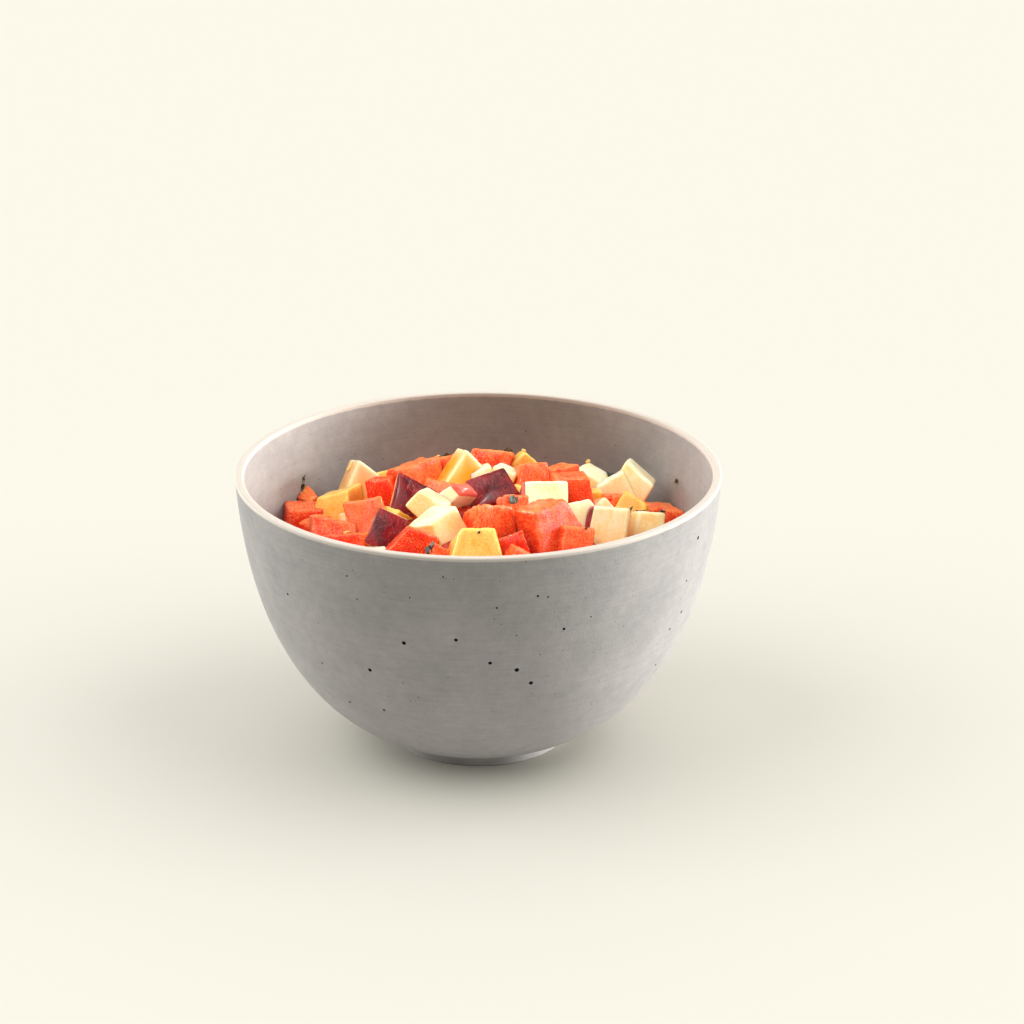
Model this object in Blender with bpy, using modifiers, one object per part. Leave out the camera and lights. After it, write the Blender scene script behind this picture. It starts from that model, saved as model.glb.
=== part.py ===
"""A cast concrete bowl filled with a heap of cut fruit, in metres, +Z up, origin under the foot.

Two solids: the bowl, turned from one profile, and the heap, a turned core joined with the cut pieces
that show on top of it. Run it with blender --background --python part.py.
"""

import math
from typing import NamedTuple

import bmesh
import bpy
import numpy as np
from mathutils import Matrix, Vector

MM = 0.001

# Bowl
RIM_RADIUS = 0.120
BOWL_HEIGHT = 0.1415
BODY_DEPTH = 0.141  # from the rim plane down to where the body's curve would close
BODY_FLARE = 0.073  # how much the wall leans out, per metre of depth
BODY_SQUARENESS = 2.4
BODY_FULLNESS = 2.75
RIM_WALL = 0.0043
FLOOR_WALL = 0.0090
FLOOR_ROUND_RADIUS = 0.030  # inside this radius the floor is nearly flat
RIM_ROUNDING = 0.0009
FOOT_RADIUS = 0.0452
FOOT_STEP = 0.001  # how far the body stands out over the foot
FOOT_TAPER = 0.0008
FOOT_HEIGHT = 0.0058
FOOT_ROUNDING = 0.0008
TURN_STEPS = 64
WALL_POINTS = 10  # up the inside, the same for the bowl and the heap that lies against it
OUTER_POINTS = 13
ARC_POINTS = 3
MOUND_POINTS = 7
MOUND_SHARE = 0.93  # how far out the mound runs before it drops to the wall

CONCRETE_COLOUR = (0.27, 0.26, 0.25)
CONCRETE_ROUGHNESS = 0.75

# Heap of fruit
FRUIT_COLOUR = (0.85, 0.22, 0.09)
FRUIT_ROUGHNESS = 0.35
WALL_GAP = 0.0003  # what touching meshes keep between them
HEAP_EDGE_DEPTH = 0.043  # how far below the rim the heap meets the wall
HEAP_CROWN_DEPTH = 0.013  # how far below the rim its crown stands
HEAP_RADIUS = 0.110
MOUND_POWER = 2.2
CORE_COVER = 0.013  # how far the core lies under the tops of the pieces
FILL_PITCH = 0.0205
FILL_SIZE = 0.0205
FILL_CLEARANCE = 0.0165
FILL_SEED = 11


class Chunk(NamedTuple):
    """One cut piece of fruit, in millimetres and degrees. top is the height of its highest point."""

    x: float
    y: float
    top: float
    width: float
    depth: float
    height: float
    turn: float
    tip: float
    roll: float
    taper: float = 0.86


# The pieces that stand out on top of the heap, from the left of the bowl to the right.
SHOWN_CHUNKS = (
    Chunk(-90, 42, 107, 20, 18, 14, 15, 10, 8),
    Chunk(-86, 66, 109, 9, 20, 26, 35, 0, -12),
    Chunk(-72, 43, 116, 24, 20, 22, -20, 20, -10),
    Chunk(-81, 25, 107, 14, 14, 14, 40, 10, 0),
    Chunk(-60, 62, 124, 19, 19, 20, 8, 18, 30),
    Chunk(-45, 74, 119, 20, 16, 16, 20, 25, -15),
    Chunk(-33, 50, 128, 24, 20, 20, 38, 20, 8),
    Chunk(-47, 40, 123, 17, 16, 22, -10, 10, -14),
    Chunk(-34, 22, 131, 20, 16, 20, 10, 30, 24),
    Chunk(-54, 4, 126, 21, 20, 23, -8, 32, -16),
    Chunk(-64, 16, 114, 14, 12, 12, 20, 20, 0),
    Chunk(-72, -4, 119, 25, 20, 20, 12, 26, 8),
    Chunk(-45, -17, 127, 17, 15, 20, 0, 24, 27),
    Chunk(-42, 2, 120, 14, 12, 14, 30, 0, 30),
    Chunk(-32, -36, 126, 20, 18, 18, 10, 20, 34),
    Chunk(-22, 62, 128, 30, 17, 18, -12, 15, -20),
    Chunk(-8, 48, 134, 20, 17, 22, 18, 14, 40, 0.76),
    Chunk(-14, 11, 132, 11, 18, 25, -30, 10, 38),
    Chunk(-24, 0, 130, 20, 14, 14, -14, 20, 26),
    Chunk(-19, -22, 130, 22, 22, 23, 44, 18, -8),
    Chunk(-20, -50, 122, 12, 10, 12, 20, 20, 30),
    Chunk(-1, -53, 131, 28, 20, 22, 4, 36, 4),
    Chunk(5, -18, 132, 24, 21, 22, 28, 22, 6),
    Chunk(5, 24, 132, 25, 18, 20, 0, 42, -24, 0.78),
    Chunk(6, 66, 131, 22, 18, 20, -10, 20, 4),
    Chunk(2, 48, 126, 14, 12, 12, 12, 20, -10),
    Chunk(13, 47, 126, 14, 12, 14, -20, 10, 20),
    Chunk(23, 70, 128, 18, 16, 18, 5, 10, 42),
    Chunk(26, 48, 128, 20, 18, 20, 16, 20, 5),
    Chunk(33, 13, 130, 24, 20, 22, 184, -28, -8),
    Chunk(46, 24, 131, 24, 22, 24, -6, 12, -2),
    Chunk(16, -2, 129, 17, 16, 19, 30, 18, 18),
    Chunk(21, 20, 125, 13, 13, 13, 12, 16, 24),
    Chunk(33, -22, 133, 27, 25, 26, 38, 26, -6),
    Chunk(16, -38, 124, 16, 14, 20, 8, 20, -20),
    Chunk(19, -54, 122, 14, 11, 12, 20, 15, 25),
    Chunk(46, -32, 124, 18, 16, 18, 30, 20, 20),
    Chunk(49, -4, 126, 22, 19, 21, 14, 34, -20),
    Chunk(63, -7, 122, 24, 21, 23, -98, 16, 10),
    Chunk(60, 20, 118, 18, 16, 16, 22, 24, -20),
    Chunk(56, 37, 117, 14, 14, 14, 10, 10, 15),
    Chunk(69, 38, 114, 17, 16, 17, 35, 10, 10),
    Chunk(76, 25, 116, 19, 18, 19, -10, 30, 22),
    Chunk(84, 10, 112, 18, 16, 15, 12, 20, 14),
    Chunk(92, 40, 107, 19, 18, 17, 22, 12, 4),
    Chunk(84, 29, 110, 15, 14, 14, 40, 10, 0),
    Chunk(65, 53, 120, 19, 16, 18, 0, 14, -26),
    Chunk(77, 56, 123, 20, 17, 19, -16, 12, 25),
    Chunk(40, 56, 124, 21, 19, 19, 24, 16, -12),
    Chunk(56, 64, 119, 19, 18, 18, -22, 10, 20),
)


def clear_scene():
    """Remove the start-up objects."""
    for thing in list(bpy.data.objects):
        bpy.data.objects.remove(thing)


def make_material(name, colour, roughness):
    """A Principled material with one colour (linear RGB)."""
    material = bpy.data.materials.new(name)
    material.use_nodes = True
    shader = material.node_tree.nodes["Principled BSDF"]
    shader.inputs["Base Color"].default_value = (*colour, 1.0)
    shader.inputs["Roughness"].default_value = roughness
    shader.inputs["Metallic"].default_value = 0.0
    return material


def body_radius(below_rim, rim_radius, depth):
    """Radius of the bowl's curve at a depth below the rim: a leaning line times a superellipse."""
    lean = rim_radius - BODY_FLARE * below_rim
    closing = 1.0 - (below_rim / depth) ** BODY_SQUARENESS
    return lean * closing ** (1.0 / BODY_FULLNESS)


def depths_down_to(radius, rim_radius, depth, count):
    """Depths below the rim, closer together towards the bottom, ending where the curve has this radius."""
    low, high = 0.0, depth
    for _ in range(60):
        middle = (low + high) / 2
        if body_radius(middle, rim_radius, depth) > radius:
            low = middle
        else:
            high = middle
    return [low * math.sin(math.pi / 2 * i / count) for i in range(1, count + 1)]


def arc(centre, radius, start_deg, end_deg, count):
    """Points (x, z) on an arc from one angle to another."""
    angles = np.radians(np.linspace(start_deg, end_deg, count))
    return [(centre[0] + radius * math.cos(a), centre[1] + radius * math.sin(a)) for a in angles]


def turned(name, profile, collection):
    """A solid of revolution from (x, z) points that run down its outer side, closed on the axis."""
    mesh = bpy.data.meshes.new(name)
    points = [(x, 0.0, z) for x, z in profile]
    mesh.from_pydata(points, [(i, i + 1) for i in range(len(points) - 1)], [])
    thing = bpy.data.objects.new(name, mesh)
    collection.objects.link(thing)
    screw = thing.modifiers.new("turn", "SCREW")
    screw.axis = "Z"
    screw.steps = TURN_STEPS
    screw.render_steps = TURN_STEPS
    screw.use_merge_vertices = True
    screw.merge_threshold = 0.00005
    return thing


INNER_RIM_RADIUS = RIM_RADIUS - RIM_WALL
INNER_DEPTH = BODY_DEPTH - FLOOR_WALL
FLOOR_LEVEL = BOWL_HEIGHT - INNER_DEPTH


def bowl_profile():
    """The bowl's section, from the inner floor's centre up the inside, over the rim and down the outside."""
    inner = depths_down_to(FLOOR_ROUND_RADIUS, INNER_RIM_RADIUS, INNER_DEPTH, WALL_POINTS)
    inside = [(body_radius(d, INNER_RIM_RADIUS, INNER_DEPTH), BOWL_HEIGHT - d) for d in reversed(inner)]
    rim_level = BOWL_HEIGHT - RIM_ROUNDING
    rim = arc((INNER_RIM_RADIUS + RIM_ROUNDING, rim_level), RIM_ROUNDING, 180, 90, ARC_POINTS)
    rim += arc((RIM_RADIUS - RIM_ROUNDING, rim_level), RIM_ROUNDING, 90, 0, ARC_POINTS)
    outer = depths_down_to(FOOT_RADIUS + FOOT_STEP, RIM_RADIUS, BODY_DEPTH, OUTER_POINTS)
    outside = [(body_radius(d, RIM_RADIUS, BODY_DEPTH), BOWL_HEIGHT - d) for d in outer]
    foot = [(FOOT_RADIUS, FOOT_HEIGHT)]
    foot += arc((FOOT_RADIUS - FOOT_TAPER - FOOT_ROUNDING, FOOT_ROUNDING), FOOT_ROUNDING, 0, -90, ARC_POINTS)
    return [(0.0, FLOOR_LEVEL)] + inside + rim + outside + foot + [(0.0, 0.0)]


def make_bowl(collection):
    """The cast concrete bowl with its low foot."""
    bowl = turned("bowl", bowl_profile(), collection)
    bowl.data.materials.append(make_material("cast_concrete", CONCRETE_COLOUR, CONCRETE_ROUGHNESS))


def heap_top(x, y):
    """Height of the tops of the pieces: a mound that falls away towards the wall."""
    share = min(math.hypot(x, y) / HEAP_RADIUS, 1.0)
    return BOWL_HEIGHT - HEAP_CROWN_DEPTH - (HEAP_EDGE_DEPTH - HEAP_CROWN_DEPTH) * share**MOUND_POWER


def inner_wall(top_depth, count):
    """Points up the inside of the bowl, less the gap, from near the floor to a depth below the rim."""
    radius, depth = INNER_RIM_RADIUS - WALL_GAP, INNER_DEPTH - WALL_GAP
    depths = [d for d in depths_down_to(FLOOR_ROUND_RADIUS, radius, depth, count) if d > top_depth] + [top_depth]
    return [(body_radius(d, radius, depth), BOWL_HEIGHT - d) for d in sorted(depths)]


def core_profile():
    """The heap's core: a mound under the pieces, then down the inside of the bowl."""
    edge_depth = HEAP_EDGE_DEPTH + CORE_COVER
    wall = inner_wall(edge_depth, WALL_POINTS)
    radii = np.linspace(0.0, wall[0][0] * MOUND_SHARE, MOUND_POINTS)
    mound = [(r, heap_top(r, 0.0) - CORE_COVER) for r in radii]
    return mound + wall + [(0.0, FLOOR_LEVEL + WALL_GAP)]


def room_profile():
    """The space inside the bowl up to the rim plane, which keeps the pieces clear of the wall."""
    return [(0.0, BOWL_HEIGHT)] + inner_wall(0.0, WALL_POINTS) + [(0.0, FLOOR_LEVEL + WALL_GAP)]


def chunk_mesh(chunk):
    """A cube stretched to the piece's size, its top face drawn in by the taper."""
    bm = bmesh.new()
    bmesh.ops.create_cube(bm, size=1.0)
    for vertex in bm.verts:
        draw_in = chunk.taper if vertex.co.z > 0 else 1.0
        vertex.co.x *= chunk.width * MM * draw_in
        vertex.co.y *= chunk.depth * MM * draw_in
        vertex.co.z *= chunk.height * MM
    mesh = bpy.data.meshes.new("chunk")
    bm.to_mesh(mesh)
    bm.free()
    return mesh


def add_chunk(chunk, collection):
    """Place one piece so that its highest point is at its top height."""
    turn = Matrix.Rotation(math.radians(chunk.turn), 4, "Z")
    tip = Matrix.Rotation(-math.radians(chunk.tip), 4, "X")
    roll = Matrix.Rotation(math.radians(chunk.roll), 4, "Y")
    pose = turn @ tip @ roll
    mesh = chunk_mesh(chunk)
    reach = max((pose @ vertex.co).z for vertex in mesh.vertices)
    thing = bpy.data.objects.new("chunk", mesh)
    centre = Vector((chunk.x * MM, chunk.y * MM, chunk.top * MM - reach))
    thing.matrix_world = Matrix.Translation(centre) @ pose
    thing.hide_render = True
    thing.display_type = "WIRE"
    collection.objects.link(thing)


def fill_chunks():
    """Pieces on a sunflower spiral wherever the shown pieces leave the mound bare."""
    rng = np.random.default_rng(FILL_SEED)
    golden = math.pi * (3 - math.sqrt(5))
    count = int((HEAP_RADIUS / FILL_PITCH) ** 2 * math.pi)
    placed = [(c.x * MM, c.y * MM) for c in SHOWN_CHUNKS]
    filled = []
    for i in range(count):
        radius = (HEAP_RADIUS - 0.010) * math.sqrt((i + 0.5) / count)
        nudge = rng.uniform(-0.002, 0.002, 2)
        x = radius * math.cos(i * golden) + nudge[0]
        y = radius * math.sin(i * golden) + nudge[1]
        size = FILL_SIZE / MM * rng.uniform(0.86, 1.14, 3)
        turn, tip, roll = rng.uniform(0, 360), rng.uniform(0, 32), rng.uniform(-30, 30)
        lift = rng.uniform(-0.003, 0.002)
        if min(math.hypot(x - px, y - py) for px, py in placed) < FILL_CLEARANCE:
            continue
        placed.append((x, y))
        top = (heap_top(x, y) + lift) / MM
        filled.append(Chunk(x / MM, y / MM, top, *size, turn, tip, roll))
    return filled


def make_heap(collection, helpers):
    """The heap: its core joined with the pieces, and kept clear of the bowl's wall."""
    heap = turned("fruit_heap", core_profile(), collection)
    heap.data.materials.append(make_material("cut_fruit", FRUIT_COLOUR, FRUIT_ROUGHNESS))
    room = turned("room", room_profile(), helpers)
    room.hide_render = True
    room.display_type = "WIRE"
    pieces = bpy.data.collections.new("chunks")
    helpers.children.link(pieces)
    for chunk in list(SHOWN_CHUNKS) + fill_chunks():
        add_chunk(chunk, pieces)
    join = heap.modifiers.new("join pieces", "BOOLEAN")
    join.operation = "UNION"
    join.operand_type = "COLLECTION"
    join.collection = pieces
    join.solver = "EXACT"
    keep = heap.modifiers.new("keep in bowl", "BOOLEAN")
    keep.operation = "INTERSECT"
    keep.object = room
    keep.solver = "EXACT"


def main():
    """Build the bowl and its heap of fruit."""
    clear_scene()
    parts = bpy.data.collections.new("fruit_salad_bowl")
    helpers = bpy.data.collections.new("helpers")
    for collection in (parts, helpers):
        bpy.context.scene.collection.children.link(collection)
    make_bowl(parts)
    make_heap(parts, helpers)


main()
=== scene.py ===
"""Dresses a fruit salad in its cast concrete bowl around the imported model.

Everything is in metres in the model's own frame, +Z up, with the origin under the bowl's foot. The
heap's solid is replaced by a smaller core of pulp with cut pieces of watermelon, orange melon and
nectarine on it, and the bowl's solid by a finer turned surface of the same profile.
"""

from __future__ import annotations

import logging
import math
from dataclasses import dataclass, field
from enum import Enum
from typing import Any
import bpy
import numpy as np
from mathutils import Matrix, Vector
from mathutils.bvhtree import BVHTree


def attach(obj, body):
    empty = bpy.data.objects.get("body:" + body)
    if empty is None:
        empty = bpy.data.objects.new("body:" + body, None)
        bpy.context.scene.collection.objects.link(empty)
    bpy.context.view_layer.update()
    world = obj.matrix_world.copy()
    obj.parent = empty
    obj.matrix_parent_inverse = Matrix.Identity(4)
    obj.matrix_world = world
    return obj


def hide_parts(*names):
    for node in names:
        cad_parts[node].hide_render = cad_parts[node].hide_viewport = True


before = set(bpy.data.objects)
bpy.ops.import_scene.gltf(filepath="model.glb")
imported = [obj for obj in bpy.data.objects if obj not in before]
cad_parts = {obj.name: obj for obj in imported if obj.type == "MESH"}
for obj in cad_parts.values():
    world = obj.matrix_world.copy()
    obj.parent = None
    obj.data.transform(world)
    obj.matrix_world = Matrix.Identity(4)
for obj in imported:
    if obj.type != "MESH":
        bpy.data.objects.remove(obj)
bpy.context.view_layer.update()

MM = 0.001
ROOT_BODY = "root"
LOG = logging.getLogger("fruit_salad")

Array = np.ndarray


# ---- Small tools ----


def linear(hex_colour: str) -> tuple[float, float, float, float]:
    """Turn an sRGB hex value into the linear RGBA that sockets hold.

    Args:
        hex_colour: six hex digits, such as "f08a66".

    Returns:
        Linear red, green, blue and an alpha of 1.
    """
    channels = [int(hex_colour[i : i + 2], 16) / 255 for i in (0, 2, 4)]
    red, green, blue = (c / 12.92 if c <= 0.04045 else ((c + 0.055) / 1.055) ** 2.4 for c in channels)
    return red, green, blue, 1.0


def add(
    tree: bpy.types.NodeTree,
    kind: str,
    inputs: dict[Any, Any] | None = None,
    output: Any = 0,
    stops: tuple[tuple[float, Any], ...] = (),
    **settings: Any,
) -> Any:
    """Add a shader node, with its settings and its links.

    Args:
        tree: the node tree it goes into.
        kind: the node's type name without its "ShaderNode" start.
        inputs: socket name or number to a value, or to an output socket to link from.
        output: name or number of the output socket that is wanted.
        stops: a ramp's (position, colour) pairs in rising order, a colour being RGBA or one grey value.
        **settings: attributes of the node itself.

    Returns:
        The wanted output socket, whose .node is the new node, or None where the node has no outputs.
    """
    node = tree.nodes.new("ShaderNode" + kind)
    for name, value in settings.items():
        setattr(node, name, value)
    for key, value in (inputs or {}).items():
        if isinstance(value, bpy.types.NodeSocket):
            tree.links.new(value, node.inputs[key])
        else:
            node.inputs[key].default_value = value
    if stops:
        elements = node.color_ramp.elements
        while len(elements) < len(stops):
            elements.new(0.5)
        for element, (position, colour) in zip(elements, stops):
            element.position = position
            element.color = (colour, colour, colour, 1.0) if isinstance(colour, (int, float)) else colour
    return node.outputs[output] if node.outputs else None


def new_material(name: str) -> tuple[bpy.types.Material, bpy.types.NodeTree, Any]:
    """Make an empty Principled material.

    Args:
        name: the material's name.

    Returns:
        The material, its node tree and its Principled node.
    """
    material = bpy.data.materials.new(name)
    material.use_nodes = True
    tree = material.node_tree
    tree.nodes.clear()
    surface = add(tree, "BsdfPrincipled")
    add(tree, "OutputMaterial", {"Surface": surface})
    return material, tree, surface.node


def finish_off(
    tree: Any, shader: Any, colour: Any, relief: Any, depth_mm: float, strength: float, **constants: Any
) -> None:
    """Link a finish's colour and relief to its shader, and set its constants.

    Args:
        tree: the node tree.
        shader: the Principled node.
        colour: output socket with the colour.
        relief: output socket with the height.
        depth_mm: height of the relief.
        strength: how much of the relief shows.
        **constants: values of the shader's inputs, with _ for each space.
    """
    bump = add(tree, "Bump", {"Height": relief, "Distance": depth_mm * MM, "Strength": strength})
    tree.links.new(colour, shader.inputs["Base Color"])
    tree.links.new(bump, shader.inputs["Normal"])
    for name, value in constants.items():
        shader.inputs[name.replace("_", " ")].default_value = value


def hashed(cells: Array, seed: int) -> Array:
    """Give each integer cell its own random number.

    Args:
        cells: (n, 3) integers.
        seed: which set of random numbers.

    Returns:
        (n,) numbers from -1 to 1.
    """
    key = cells[:, 0] * 73856093 ^ cells[:, 1] * 19349663 ^ cells[:, 2] * 83492791 ^ (seed * 2654435761)
    key = (key ^ (key >> 13)) * 1274126177 & 0x7FFFFFFF
    key = (key ^ (key >> 16)) * 668265263 & 0x7FFFFFFF
    return (key ^ (key >> 11)) % 65536 / 32767.5 - 1.0


def ripple(points: Array, spacing: float, seed: int, octaves: int = 1) -> Array:
    """Smooth random relief: random numbers on a cubic lattice, eased between by 3t^2 - 2t^3.

    Args:
        points: (n, 3) places.
        spacing: distance between lattice points, in the places' own unit.
        seed: which relief.
        octaves: how many reliefs are added, each at half the spacing and half the height.

    Returns:
        (n,) heights from about -1 to 1.
    """
    total = np.zeros(len(points))
    for octave in range(octaves):
        place = points / spacing * 2**octave
        cell = np.floor(place).astype(np.int64)
        ease = place - cell
        ease = ease * ease * (3 - 2 * ease)
        layer = np.zeros(len(points))
        for corner in np.ndindex(2, 2, 2):
            weight = np.prod(np.where(corner, ease, 1 - ease), axis=1)
            layer += weight * hashed(cell + corner, seed + 101 * octave)
        total += layer / 2**octave
    return total


@dataclass
class Surface:
    """Points, faces and what the finishes read, gathered before it becomes a mesh."""

    points: Array
    quads: Array
    values: dict[str, Array] = field(default_factory=dict)
    slots: Array | None = None

    @staticmethod
    def joined(parts: list["Surface"]) -> "Surface":
        """Put several surfaces after one another in one.

        Args:
            parts: surfaces with the same named values.

        Returns:
            One surface with all of their points and faces.
        """
        starts = np.cumsum([0] + [len(p.points) for p in parts[:-1]])
        return Surface(
            np.concatenate([p.points for p in parts]),
            np.concatenate([p.quads + start for p, start in zip(parts, starts)]),
            {name: np.concatenate([p.values[name] for p in parts]) for name in parts[0].values},
            None if parts[0].slots is None else np.concatenate([p.slots for p in parts]),
        )

    def to_object(self, name: str, materials: list[bpy.types.Material]) -> bpy.types.Object:
        """Make a smooth-shaded mesh object at the origin.

        Args:
            name: the piece's name.
            materials: its materials, in the order that slots counts them.

        Returns:
            The object, linked into the scene.
        """
        mesh = bpy.data.meshes.new(name)
        quads = np.ascontiguousarray(self.quads, np.int32)
        triangle = quads[:, 2] == quads[:, 3]
        sizes = np.where(triangle, 3, 4).astype(np.int32)
        corners = quads.ravel()[np.column_stack([np.ones((len(quads), 3), bool), ~triangle]).ravel()]
        mesh.vertices.add(len(self.points))
        mesh.vertices.foreach_set("co", np.asarray(self.points, np.float32).ravel())
        mesh.loops.add(len(corners))
        mesh.loops.foreach_set("vertex_index", corners)
        mesh.polygons.add(len(quads))
        starts = np.concatenate([[0], np.cumsum(sizes)[:-1]]).astype(np.int32)
        mesh.polygons.foreach_set("loop_start", starts)
        mesh.polygons.foreach_set("use_smooth", np.ones(len(quads), bool))
        if self.slots is not None:
            mesh.polygons.foreach_set("material_index", np.asarray(self.slots, np.int32))
        for value_name, value in self.values.items():
            kind, holder = ("FLOAT_VECTOR", "vector") if value.ndim == 2 else ("FLOAT", "value")
            layer = mesh.attributes.new(value_name, kind, "POINT")
            layer.data.foreach_set(holder, np.asarray(value, np.float32).ravel())
        for material in materials:
            mesh.materials.append(material)
        mesh.update(calc_edges=True)
        mesh.validate()
        piece = bpy.data.objects.new(name, mesh)
        bpy.context.scene.collection.objects.link(piece)
        return piece


def turned_surface(radii: Array, heights: Array, steps: int) -> Surface:
    """Turn a profile round +Z: point (r, z) at angle a lies at (r cos a, r sin a, z), poles closed by fans.

    Args:
        radii: the profile's radii, zero at both ends, in the order up the inside and down the outside.
        heights: its heights.
        steps: how many places round.

    Returns:
        The closed surface, with its faces pointing out.
    """
    angle = np.linspace(0, 2 * math.pi, steps, endpoint=False)
    ring_r, ring_z = radii[1:-1, None], heights[1:-1, None]
    rings = np.stack(
        [ring_r * np.cos(angle), ring_r * np.sin(angle), np.broadcast_to(ring_z, (len(ring_r), steps))], -1
    ).reshape(-1, 3)
    points = np.vstack([rings, [[0, 0, heights[0]], [0, 0, heights[-1]]]])
    row, column = np.meshgrid(np.arange(len(ring_r) - 1), np.arange(steps), indexing="ij")
    here, beside = row * steps + column, row * steps + (column + 1) % steps
    body = np.stack([here, here + steps, beside + steps, beside], -1).reshape(-1, 4)
    around, following = np.arange(steps), (np.arange(steps) + 1) % steps
    last = (len(ring_r) - 1) * steps
    pole = np.full(steps, len(rings))
    start = np.stack([around, following, pole, pole], -1)
    end = np.stack([last + following, last + around, pole + 1, pole + 1], -1)
    return Surface(points, np.concatenate([body, start, end]))


# ---- Finishes ----


@dataclass(frozen=True)
class CastConcrete:
    """Fine concrete cast in a mould, sanded and sealed matt: cloudy grey, its rim rubbed pale, its pinholes
    painted dark as painted shade, and its lower wall painted lighter as painted light thrown up from the
    floor.
    """

    light: str = "a3a09c"
    dark: str = "989592"
    rim: str = "ccc3b7"
    # Painted shade: the dark tone of the pinholes.
    pinhole_shade: str = "3c3936"
    cloud_mm: float = 28.0
    mottle_mm: float = 5.0
    grain_mm: float = 0.9
    streak_mm: float = 0.8
    pore_layers: tuple[tuple[float, float], ...] = ((3.6, 0.115), (1.9, 0.085))
    # Painted light: how much lighter the tone is at the foot and at the rim, and the height over which it
    # changes.
    foot_painted_light: float = 1.34
    rim_painted_light: float = 0.98
    painted_light_height: float = 0.135

    def material(self) -> bpy.types.Material:
        """Build the material. It reads Object coordinates and the rub value (1 on the rim)."""
        material, tree, shader = new_material("cast_concrete_sanded")
        place = add(tree, "TexCoord", output="Object")
        lines = add(tree, "Mapping", {"Vector": place, "Scale": (0.03, 0.03, 1.0)})
        cloud, mottle, grain, streak = (
            add(tree, "TexNoise", {"Vector": where, "Scale": 1 / (size * MM), "Detail": detail})
            for where, size, detail in (
                (place, self.cloud_mm, 4.0),
                (place, self.mottle_mm, 6.0),
                (place, self.grain_mm, 2.0),
                (lines, self.streak_mm, 2.0),
            )
        )
        tone = add(tree, "ValToRGB", {0: cloud}, stops=((0.3, linear(self.dark)), (0.7, linear(self.light))))
        for texture, strength in ((mottle, 0.20), (grain, 0.14), (streak, 0.16)):
            grey = add(tree, "ValToRGB", {0: texture}, stops=((0.3, 0.35), (0.7, 0.65)))
            over = {0: strength, 6: tone, 7: grey}
            tone = add(tree, "Mix", over, 2, data_type="RGBA", blend_type="OVERLAY")
        # Painted light: the tone is lifted towards the foot, for the light that the floor throws up at the
        # lower wall.
        level = add(tree, "SeparateXYZ", {"Vector": place}, 2)
        reach = {0: level, 1: 0.0, 2: self.painted_light_height, 3: self.foot_painted_light, 4: self.rim_painted_light}
        lift = add(tree, "MapRange", reach)
        tone = add(tree, "HueSaturation", {"Color": tone, "Value": lift})
        # Pinholes too small to cut: dots painted dark as painted shade inside them, and also sunk by the
        # relief.
        hole: Any = 0.0
        for spacing, radius in self.pore_layers:
            pores = add(tree, "TexVoronoi", {"Vector": place, "Scale": 1 / (spacing * MM)}, "Distance")
            chance = add(tree, "SeparateColor", {"Color": pores.node.outputs["Color"]})
            wide = add(tree, "Math", {0: chance, 1: radius}, operation="MULTIPLY")
            depth = add(tree, "Math", {0: pores, 1: wide}, operation="DIVIDE")
            layer = add(tree, "ValToRGB", {0: depth}, stops=((0.55, 1.0), (1.0, 0.0)))
            hole = add(tree, "Math", {0: hole, 1: layer}, operation="MAXIMUM")
        tone = add(tree, "Mix", {0: hole, 6: tone, 7: linear(self.pinhole_shade)}, 2, data_type="RGBA")
        rub = add(tree, "Attribute", output="Fac", attribute_name="rub")
        worn = add(tree, "Math", {0: mottle, 1: 0.35, 2: rub}, operation="MULTIPLY_ADD")
        rubbed = add(tree, "ValToRGB", {0: worn}, stops=((0.45, 0.0), (0.75, 1.0)))
        tone = add(tree, "Mix", {0: rubbed, 6: tone, 7: linear(self.rim)}, 2, data_type="RGBA")
        relief = add(tree, "Math", {0: mottle, 1: grain}, operation="ADD")
        relief = add(tree, "Math", {0: relief, 1: hole}, operation="SUBTRACT")
        finish_off(tree, shader, tone, relief, 0.25, 0.35, Roughness=0.62, Specular_IOR_Level=0.4)
        return material

    def pinhole_shade_material(self) -> bpy.types.Material:
        """Painted shade inside the larger pinholes: a plain dark tone on their cut faces."""
        material, _, shader = new_material("cast_concrete_pinhole_shade")
        shader.inputs["Base Color"].default_value = linear("24221f")
        shader.inputs["Roughness"].default_value = 0.95
        return material


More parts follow.
